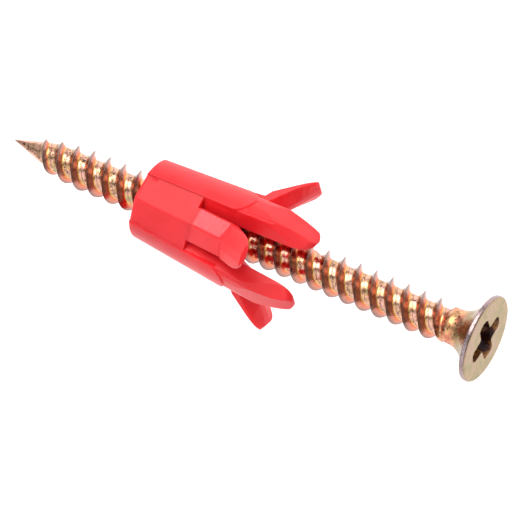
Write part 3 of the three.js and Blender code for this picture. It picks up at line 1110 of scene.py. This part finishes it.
# %% The floor
FLOOR_DROP = -0.03
white_paper = bpy.data.materials.new("white_paper_sweep")
tree, shader = fresh_tree(white_paper)
shader.inputs["Base Color"].default_value = linear("#FFFFFF")
shader.inputs["Roughness"].default_value = 0.9
shader.inputs["Emission Color"].default_value = linear("#FFFFFF")
shader.inputs["Emission Strength"].default_value = 0.22
bpy.ops.mesh.primitive_plane_add(size=4.0, location=(0, 0, FLOOR_DROP))
floor = bpy.context.object
floor.name = "floor"
floor.data.materials.append(white_paper)
floor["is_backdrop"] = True
print("floor", abs(FLOOR_DROP) / MM, "mm below the frame's origin")

# %% [markdown]
# Metal shows what is around it, so the tent's light matters more to the screw than the lamp.
# There are two wide soft walls, one on each side, and a narrow dark gap near the top, where
# the worker looks in. The gap gives each turn of the thread its dark line. Both ends are dimmer.

# %% The light tent
WALLS = (
    (0.0, 0.9), (0.2, 1.35), (0.41, 1.1), (0.435, 0.06), (0.48, 0.06),
    (0.505, 1.3), (0.7, 1.45), (1.0, 0.7),
)  # (place, light): 0 is the -Y horizon, 0.5 is overhead and 1 is the +Y horizon
world = bpy.data.worlds.new("studio")
bpy.context.scene.world = world
world.use_nodes = True
tree = world.node_tree
put = Sums(tree)
sky = add_node(tree, "ShaderNodeTexCoord").outputs["Generated"]
way = add_node(tree, "ShaderNodeSeparateXYZ", Vector=sky).outputs
lean = put("DIVIDE", put("ARCTAN2", way["Y"], way["Z"]), math.pi)
walls = add_node(tree, "ShaderNodeValToRGB", Fac=put("ADD", lean, 0.5))
set_stops(walls.color_ramp, [(place, (light, light, light, 1)) for place, light in WALLS])
# behind the floor's edge the camera meets an even pale wall, which lights nothing
wall = add_node(tree, "ShaderNodeLightPath").outputs["Is Camera Ray"]
colour = blend_colours(tree, wall, walls.outputs[0], linear("#FAFAFA"))
tree.links.new(colour, tree.nodes["Background"].inputs["Color"])
towards_point = put("MULTIPLY", put.smooth(way["X"], -0.98, -0.4), 0.6)
towards_head = put("MULTIPLY", put.smooth(way["X"], 0.25, 0.8), 0.6)
light = put("ADD", 0.31, put("SUBTRACT", towards_point, towards_head))
light = put("MULTIPLY", light, put("SUBTRACT", 1.0, wall))
tree.links.new(put("ADD", light, wall), tree.nodes["Background"].inputs["Strength"])
print("light tent:", len(tree.nodes), "nodes")

# %% [markdown]
# The camera looks down at the object from the front, with a long lens from 700 mm away, and is
# rolled so that the screw lies slantwise across the view. One wide lamp stands above it.

# %% The camera and the lamp
AIM = Vector((-1.868, -2.922, -4.829)) * MM
TO_CAMERA = Vector((0.3616, 0.1378, 0.9221)).normalized()
CAMERA_AWAY = 700 * MM
ROLL = math.radians(-89.41)
level = (-TO_CAMERA).cross(Vector((0, 0, 1))).normalized()
upright = level.cross(-TO_CAMERA)
right = level * math.cos(ROLL) + upright * math.sin(ROLL)
up = -level * math.sin(ROLL) + upright * math.cos(ROLL)

camera = bpy.data.cameras.new("camera")
camera.lens, camera.sensor_width = 403.7, 36.0
camera.clip_start, camera.clip_end = 0.01, 10
view = bpy.data.objects.new("camera", camera)
bpy.context.scene.collection.objects.link(view)
turned = Matrix((right, up, TO_CAMERA)).transposed().to_4x4()
view.matrix_world = Matrix.Translation(AIM + TO_CAMERA * CAMERA_AWAY) @ turned
bpy.context.scene.camera = view

lamp = bpy.data.lights.new("key", "AREA")
lamp.shape, lamp.size, lamp.energy = "DISK", 0.55, 1.9
lamp.color = linear("#FFF6F2")[:3]
key = bpy.data.objects.new("key", lamp)
bpy.context.scene.collection.objects.link(key)
key.location = (right * -0.25 + up * 0.6 + TO_CAMERA * 0.7).normalized() * 0.6
key.rotation_euler = (-key.location).to_track_quat("-Z", "Y").to_euler()
bpy.context.scene.view_settings.view_transform = "Standard"
print("camera", round(CAMERA_AWAY / MM), "mm away, lamp", round(key.location.length / MM), "mm")

# %% [markdown]
# ## The boxes
# The box of the finished object is compared with the CAD's.

# %% The two boxes and the end
final_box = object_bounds()
for axis in range(3):
    low = (final_box[0][axis] - cad_box[0][axis]) / MM
    high = (final_box[1][axis] - cad_box[1][axis]) / MM
    print(f"axis {axis}: low side {low:+.2f} mm, high side {high:+.2f} mm")
